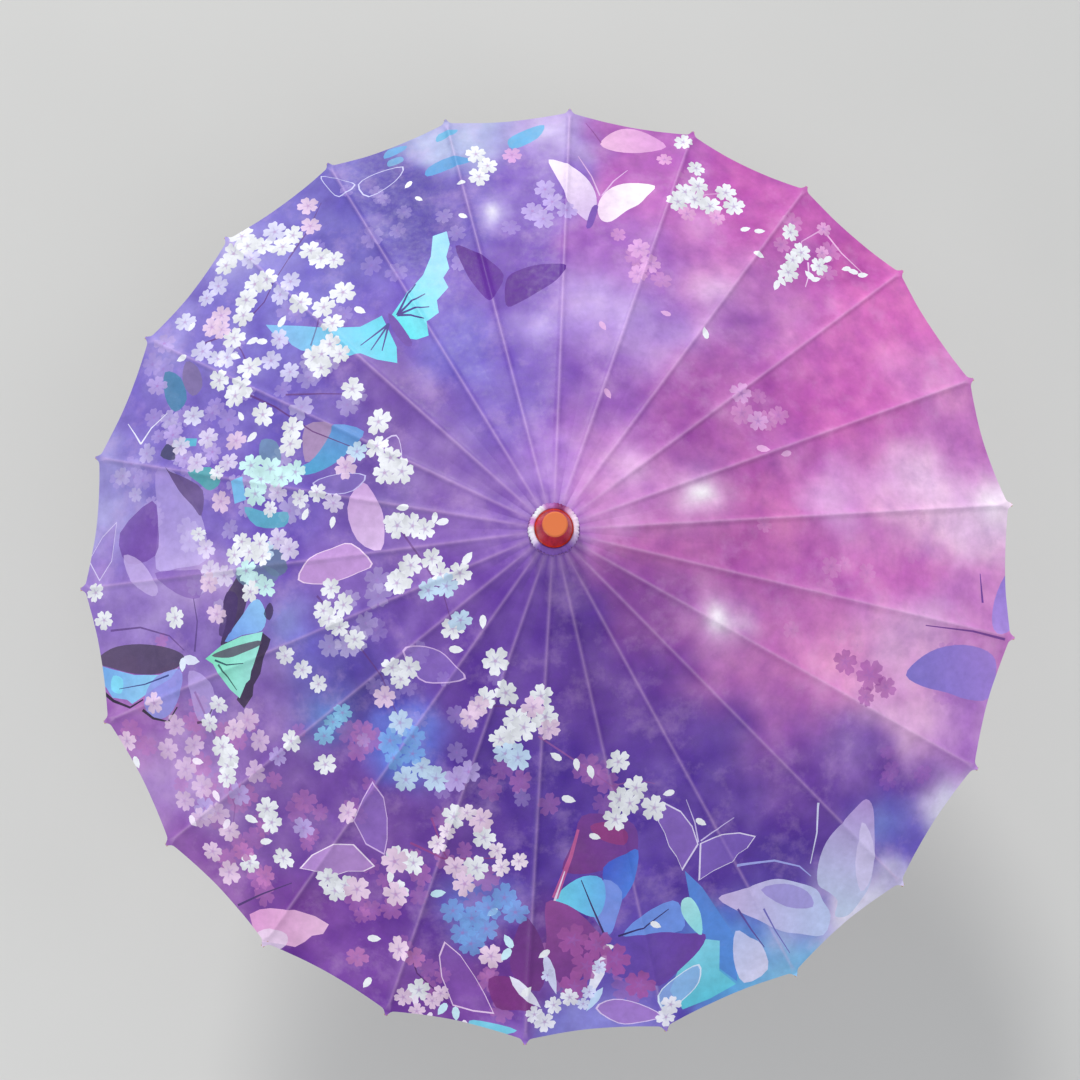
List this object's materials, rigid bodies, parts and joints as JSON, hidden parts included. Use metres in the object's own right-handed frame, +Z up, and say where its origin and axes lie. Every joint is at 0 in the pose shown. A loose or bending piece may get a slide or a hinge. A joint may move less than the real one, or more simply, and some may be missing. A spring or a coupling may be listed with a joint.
{
  "type": "oil paper umbrella",
  "caption": "Folding oil-paper umbrella, shown open: printed pleated canopy on split-bamboo ribs and stretchers, lacquered finial, sliding runner, wooden shaft and grip.",
  "frame": {"origin": "centre of the bottom end of the handle, on the shaft's axis", "axes": "+Z up the shaft from the handle to the finial; +X in the plane of rib_00"},
  "size_m": [0.851, 0.8428, 0.547],
  "materials": {
    "bamboo": "satin",
    "shaft_wood": "satin",
    "hub_wood": "satin",
    "grip_wood": "gloss",
    "red_lacquer": "gloss",
    "printed_paper": "satin",
    "collar_cloth": "matte",
    "thread": "matte",
    "spring_steel": "satin"
  },
  "bodies": {
    "shaft_body": {"shaft": "shaft_wood", "grip": "grip_wood", "end_knob": "grip_wood", "top_hub": "hub_wood", "hub_thread": "thread", "finial": "red_lacquer", "canopy": "printed_paper", "crown_collar": "collar_cloth", "collar_tie": "thread", "catch_pin": "spring_steel", "stop_pin": "spring_steel"},
    "rib_00": {"rib_00": "bamboo"},
    "rib_01": {"rib_01": "bamboo"},
    "rib_02": {"rib_02": "bamboo"},
    "rib_03": {"rib_03": "bamboo"},
    "rib_04": {"rib_04": "bamboo"},
    "rib_05": {"rib_05": "bamboo"},
    "rib_06": {"rib_06": "bamboo"},
    "rib_07": {"rib_07": "bamboo"},
    "rib_08": {"rib_08": "bamboo"},
    "rib_09": {"rib_09": "bamboo"},
    "rib_10": {"rib_10": "bamboo"},
    "rib_11": {"rib_11": "bamboo"},
    "rib_12": {"rib_12": "bamboo"},
    "rib_13": {"rib_13": "bamboo"},
    "rib_14": {"rib_14": "bamboo"},
    "rib_15": {"rib_15": "bamboo"},
    "rib_16": {"rib_16": "bamboo"},
    "rib_17": {"rib_17": "bamboo"},
    "rib_18": {"rib_18": "bamboo"},
    "rib_19": {"rib_19": "bamboo"},
    "rib_20": {"rib_20": "bamboo"},
    "rib_21": {"rib_21": "bamboo"},
    "stretcher_00": {"stretcher_00": "bamboo"},
    "stretcher_01": {"stretcher_01": "bamboo"},
    "stretcher_02": {"stretcher_02": "bamboo"},
    "stretcher_03": {"stretcher_03": "bamboo"},
    "stretcher_04": {"stretcher_04": "bamboo"},
    "stretcher_05": {"stretcher_05": "bamboo"},
    "stretcher_06": {"stretcher_06": "bamboo"},
    "stretcher_07": {"stretcher_07": "bamboo"},
    "stretcher_08": {"stretcher_08": "bamboo"},
    "stretcher_09": {"stretcher_09": "bamboo"},
    "stretcher_10": {"stretcher_10": "bamboo"},
    "stretcher_11": {"stretcher_11": "bamboo"},
    "stretcher_12": {"stretcher_12": "bamboo"},
    "stretcher_13": {"stretcher_13": "bamboo"},
    "stretcher_14": {"stretcher_14": "bamboo"},
    "stretcher_15": {"stretcher_15": "bamboo"},
    "stretcher_16": {"stretcher_16": "bamboo"},
    "stretcher_17": {"stretcher_17": "bamboo"},
    "stretcher_18": {"stretcher_18": "bamboo"},
    "stretcher_19": {"stretcher_19": "bamboo"},
    "stretcher_20": {"stretcher_20": "bamboo"},
    "stretcher_21": {"stretcher_21": "bamboo"},
    "runner": {"runner": "hub_wood", "runner_thread": "thread"},
    "catch": {"catch_spring": "spring_steel"}
  },
  "joints": [
    {"name": "fold", "type": "hinge", "parent": "shaft_body", "child": "rib_00", "pos_m": [0.014, 0, 0.5], "axis": [0, 1, 0], "range_deg": [0, 67], "deforming": ["canopy"]},
    {"name": "fold_01", "type": "hinge", "parent": "shaft_body", "child": "rib_01", "pos_m": [0.01343, 0.00394, 0.5], "axis": [-0.2817, 0.9595, 0], "range_deg": [0, 67]},
    {"name": "fold_02", "type": "hinge", "parent": "shaft_body", "child": "rib_02", "pos_m": [0.01178, 0.00757, 0.5], "axis": [-0.5406, 0.8413, 0], "range_deg": [0, 67]},
    {"name": "fold_03", "type": "hinge", "parent": "shaft_body", "child": "rib_03", "pos_m": [0.00917, 0.01058, 0.5], "axis": [-0.7557, 0.6549, 0], "range_deg": [0, 67]},
    {"name": "fold_04", "type": "hinge", "parent": "shaft_body", "child": "rib_04", "pos_m": [0.00582, 0.01273, 0.5], "axis": [-0.9096, 0.4154, 0], "range_deg": [0, 67]},
    {"name": "fold_05", "type": "hinge", "parent": "shaft_body", "child": "rib_05", "pos_m": [0.00199, 0.01386, 0.5], "axis": [-0.9898, 0.1423, 0], "range_deg": [0, 67]},
    {"name": "fold_06", "type": "hinge", "parent": "shaft_body", "child": "rib_06", "pos_m": [-0.00199, 0.01386, 0.5], "axis": [-0.9898, -0.1423, 0], "range_deg": [0, 67]},
    {"name": "fold_07", "type": "hinge", "parent": "shaft_body", "child": "rib_07", "pos_m": [-0.00582, 0.01273, 0.5], "axis": [-0.9096, -0.4154, 0], "range_deg": [0, 67]},
    {"name": "fold_08", "type": "hinge", "parent": "shaft_body", "child": "rib_08", "pos_m": [-0.00917, 0.01058, 0.5], "axis": [-0.7557, -0.6549, 0], "range_deg": [0, 67]},
    {"name": "fold_09", "type": "hinge", "parent": "shaft_body", "child": "rib_09", "pos_m": [-0.01178, 0.00757, 0.5], "axis": [-0.5406, -0.8413, 0], "range_deg": [0, 67]},
    {"name": "fold_10", "type": "hinge", "parent": "shaft_body", "child": "rib_10", "pos_m": [-0.01343, 0.00394, 0.5], "axis": [-0.2817, -0.9595, 0], "range_deg": [0, 67]},
    {"name": "fold_11", "type": "hinge", "parent": "shaft_body", "child": "rib_11", "pos_m": [-0.014, 0, 0.5], "axis": [0, -1, 0], "range_deg": [0, 67]},
    {"name": "fold_12", "type": "hinge", "parent": "shaft_body", "child": "rib_12", "pos_m": [-0.01343, -0.00394, 0.5], "axis": [0.2817, -0.9595, 0], "range_deg": [0, 67]},
    {"name": "fold_13", "type": "hinge", "parent": "shaft_body", "child": "rib_13", "pos_m": [-0.01178, -0.00757, 0.5], "axis": [0.5406, -0.8413, 0], "range_deg": [0, 67]},
    {"name": "fold_14", "type": "hinge", "parent": "shaft_body", "child": "rib_14", "pos_m": [-0.00917, -0.01058, 0.5], "axis": [0.7557, -0.6549, 0], "range_deg": [0, 67]},
    {"name": "fold_15", "type": "hinge", "parent": "shaft_body", "child": "rib_15", "pos_m": [-0.00582, -0.01273, 0.5], "axis": [0.9096, -0.4154, 0], "range_deg": [0, 67]},
    {"name": "fold_16", "type": "hinge", "parent": "shaft_body", "child": "rib_16", "pos_m": [-0.00199, -0.01386, 0.5], "axis": [0.9898, -0.1423, 0], "range_deg": [0, 67]},
    {"name": "fold_17", "type": "hinge", "parent": "shaft_body", "child": "rib_17", "pos_m": [0.00199, -0.01386, 0.5], "axis": [0.9898, 0.1423, 0], "range_deg": [0, 67]},
    {"name": "fold_18", "type": "hinge", "parent": "shaft_body", "child": "rib_18", "pos_m": [0.00582, -0.01273, 0.5], "axis": [0.9096, 0.4154, 0], "range_deg": [0, 67]},
    {"name": "fold_19", "type": "hinge", "parent": "shaft_body", "child": "rib_19", "pos_m": [0.00917, -0.01058, 0.5], "axis": [0.7557, 0.6549, 0], "range_deg": [0, 67]},
    {"name": "fold_20", "type": "hinge", "parent": "shaft_body", "child": "rib_20", "pos_m": [0.01178, -0.00757, 0.5], "axis": [0.5406, 0.8413, 0], "range_deg": [0, 67]},
    {"name": "fold_21", "type": "hinge", "parent": "shaft_body", "child": "rib_21", "pos_m": [0.01343, -0.00394, 0.5], "axis": [0.2817, 0.9595, 0], "range_deg": [0, 67]},
    {"name": "stretch_00", "type": "hinge", "parent": "rib_00", "child": "stretcher_00", "pos_m": [0.18995, 0, 0.44283], "axis": [0, 1, 0], "range_deg": [-134, 0]},
    {"name": "stretch_01", "type": "hinge", "parent": "rib_01", "child": "stretcher_01", "pos_m": [0.18225, 0.05351, 0.44283], "axis": [-0.2817, 0.9595, 0], "range_deg": [-134, 0]},
    {"name": "stretch_02", "type": "hinge", "parent": "rib_02", "child": "stretcher_02", "pos_m": [0.15979, 0.10269, 0.44283], "axis": [-0.5406, 0.8413, 0], "range_deg": [-134, 0]},
    {"name": "stretch_03", "type": "hinge", "parent": "rib_03", "child": "stretcher_03", "pos_m": [0.12439, 0.14355, 0.44283], "axis": [-0.7557, 0.6549, 0], "range_deg": [-134, 0]},
    {"name": "stretch_04", "type": "hinge", "parent": "rib_04", "child": "stretcher_04", "pos_m": [0.07891, 0.17278, 0.44283], "axis": [-0.9096, 0.4154, 0], "range_deg": [-134, 0]},
    {"name": "stretch_05", "type": "hinge", "parent": "rib_05", "child": "stretcher_05", "pos_m": [0.02703, 0.18801, 0.44283], "axis": [-0.9898, 0.1423, 0], "range_deg": [-134, 0]},
    {"name": "stretch_06", "type": "hinge", "parent": "rib_06", "child": "stretcher_06", "pos_m": [-0.02703, 0.18801, 0.44283], "axis": [-0.9898, -0.1423, 0], "range_deg": [-134, 0]},
    {"name": "stretch_07", "type": "hinge", "parent": "rib_07", "child": "stretcher_07", "pos_m": [-0.07891, 0.17278, 0.44283], "axis": [-0.9096, -0.4154, 0], "range_deg": [-134, 0]},
    {"name": "stretch_08", "type": "hinge", "parent": "rib_08", "child": "stretcher_08", "pos_m": [-0.12439, 0.14355, 0.44283], "axis": [-0.7557, -0.6549, 0], "range_deg": [-134, 0]},
    {"name": "stretch_09", "type": "hinge", "parent": "rib_09", "child": "stretcher_09", "pos_m": [-0.15979, 0.10269, 0.44283], "axis": [-0.5406, -0.8413, 0], "range_deg": [-134, 0]},
    {"name": "stretch_10", "type": "hinge", "parent": "rib_10", "child": "stretcher_10", "pos_m": [-0.18225, 0.05351, 0.44283], "axis": [-0.2817, -0.9595, 0], "range_deg": [-134, 0]},
    {"name": "stretch_11", "type": "hinge", "parent": "rib_11", "child": "stretcher_11", "pos_m": [-0.18995, 0, 0.44283], "axis": [0, -1, 0], "range_deg": [-134, 0]},
    {"name": "stretch_12", "type": "hinge", "parent": "rib_12", "child": "stretcher_12", "pos_m": [-0.18225, -0.05351, 0.44283], "axis": [0.2817, -0.9595, 0], "range_deg": [-134, 0]},
    {"name": "stretch_13", "type": "hinge", "parent": "rib_13", "child": "stretcher_13", "pos_m": [-0.15979, -0.10269, 0.44283], "axis": [0.5406, -0.8413, 0], "range_deg": [-134, 0]},
    {"name": "stretch_14", "type": "hinge", "parent": "rib_14", "child": "stretcher_14", "pos_m": [-0.12439, -0.14355, 0.44283], "axis": [0.7557, -0.6549, 0], "range_deg": [-134, 0]},
    {"name": "stretch_15", "type": "hinge", "parent": "rib_15", "child": "stretcher_15", "pos_m": [-0.07891, -0.17278, 0.44283], "axis": [0.9096, -0.4154, 0], "range_deg": [-134, 0]},
    {"name": "stretch_16", "type": "hinge", "parent": "rib_16", "child": "stretcher_16", "pos_m": [-0.02703, -0.18801, 0.44283], "axis": [0.9898, -0.1423, 0], "range_deg": [-134, 0]},
    {"name": "stretch_17", "type": "hinge", "parent": "rib_17", "child": "stretcher_17", "pos_m": [0.02703, -0.18801, 0.44283], "axis": [0.9898, 0.1423, 0], "range_deg": [-134, 0]},
    {"name": "stretch_18", "type": "hinge", "parent": "rib_18", "child": "stretcher_18", "pos_m": [0.07891, -0.17278, 0.44283], "axis": [0.9096, 0.4154, 0], "range_deg": [-134, 0]},
    {"name": "stretch_19", "type": "hinge", "parent": "rib_19", "child": "stretcher_19", "pos_m": [0.12439, -0.14355, 0.44283], "axis": [0.7557, 0.6549, 0], "range_deg": [-134, 0]},
    {"name": "stretch_20", "type": "hinge", "parent": "rib_20", "child": "stretcher_20", "pos_m": [0.15979, -0.10269, 0.44283], "axis": [0.5406, 0.8413, 0], "range_deg": [-134, 0]},
    {"name": "stretch_21", "type": "hinge", "parent": "rib_21", "child": "stretcher_21", "pos_m": [0.18225, -0.05351, 0.44283], "axis": [0.2817, 0.9595, 0], "range_deg": [-134, 0]},
    {"name": "runner_hang", "type": "hinge", "parent": "stretcher_00", "child": "runner", "pos_m": [0.014, 0, 0.38566], "axis": [0, 1, 0], "range_deg": [0, 67]},
    {"name": "catch_press", "type": "hinge", "parent": "shaft_body", "child": "catch", "pos_m": [0.003, 0, 0.322], "axis": [0, -1, 0], "range_deg": [0, 5], "stiffness_Nm_per_rad": 0.05, "springref_deg": -5.73, "deforming": ["catch_spring"]}
  ],
  "couplings": [
    {"joint": "fold_01", "follows": "fold", "ratio": 1},
    {"joint": "fold_02", "follows": "fold", "ratio": 1},
    {"joint": "fold_03", "follows": "fold", "ratio": 1},
    {"joint": "fold_04", "follows": "fold", "ratio": 1},
    {"joint": "fold_05", "follows": "fold", "ratio": 1},
    {"joint": "fold_06", "follows": "fold", "ratio": 1},
    {"joint": "fold_07", "follows": "fold", "ratio": 1},
    {"joint": "fold_08", "follows": "fold", "ratio": 1},
    {"joint": "fold_09", "follows": "fold", "ratio": 1},
    {"joint": "fold_10", "follows": "fold", "ratio": 1},
    {"joint": "fold_11", "follows": "fold", "ratio": 1},
    {"joint": "fold_12", "follows": "fold", "ratio": 1},
    {"joint": "fold_13", "follows": "fold", "ratio": 1},
    {"joint": "fold_14", "follows": "fold", "ratio": 1},
    {"joint": "fold_15", "follows": "fold", "ratio": 1},
    {"joint": "fold_16", "follows": "fold", "ratio": 1},
    {"joint": "fold_17", "follows": "fold", "ratio": 1},
    {"joint": "fold_18", "follows": "fold", "ratio": 1},
    {"joint": "fold_19", "follows": "fold", "ratio": 1},
    {"joint": "fold_20", "follows": "fold", "ratio": 1},
    {"joint": "fold_21", "follows": "fold", "ratio": 1},
    {"joint": "stretch_00", "follows": "fold", "ratio": -2},
    {"joint": "stretch_01", "follows": "fold", "ratio": -2},
    {"joint": "stretch_02", "follows": "fold", "ratio": -2},
    {"joint": "stretch_03", "follows": "fold", "ratio": -2},
    {"joint": "stretch_04", "follows": "fold", "ratio": -2},
    {"joint": "stretch_05", "follows": "fold", "ratio": -2},
    {"joint": "stretch_06", "follows": "fold", "ratio": -2},
    {"joint": "stretch_07", "follows": "fold", "ratio": -2},
    {"joint": "stretch_08", "follows": "fold", "ratio": -2},
    {"joint": "stretch_09", "follows": "fold", "ratio": -2},
    {"joint": "stretch_10", "follows": "fold", "ratio": -2},
    {"joint": "stretch_11", "follows": "fold", "ratio": -2},
    {"joint": "stretch_12", "follows": "fold", "ratio": -2},
    {"joint": "stretch_13", "follows": "fold", "ratio": -2},
    {"joint": "stretch_14", "follows": "fold", "ratio": -2},
    {"joint": "stretch_15", "follows": "fold", "ratio": -2},
    {"joint": "stretch_16", "follows": "fold", "ratio": -2},
    {"joint": "stretch_17", "follows": "fold", "ratio": -2},
    {"joint": "stretch_18", "follows": "fold", "ratio": -2},
    {"joint": "stretch_19", "follows": "fold", "ratio": -2},
    {"joint": "stretch_20", "follows": "fold", "ratio": -2},
    {"joint": "stretch_21", "follows": "fold", "ratio": -2},
    {"joint": "runner_hang", "follows": "fold", "ratio": 1}
  ]
}
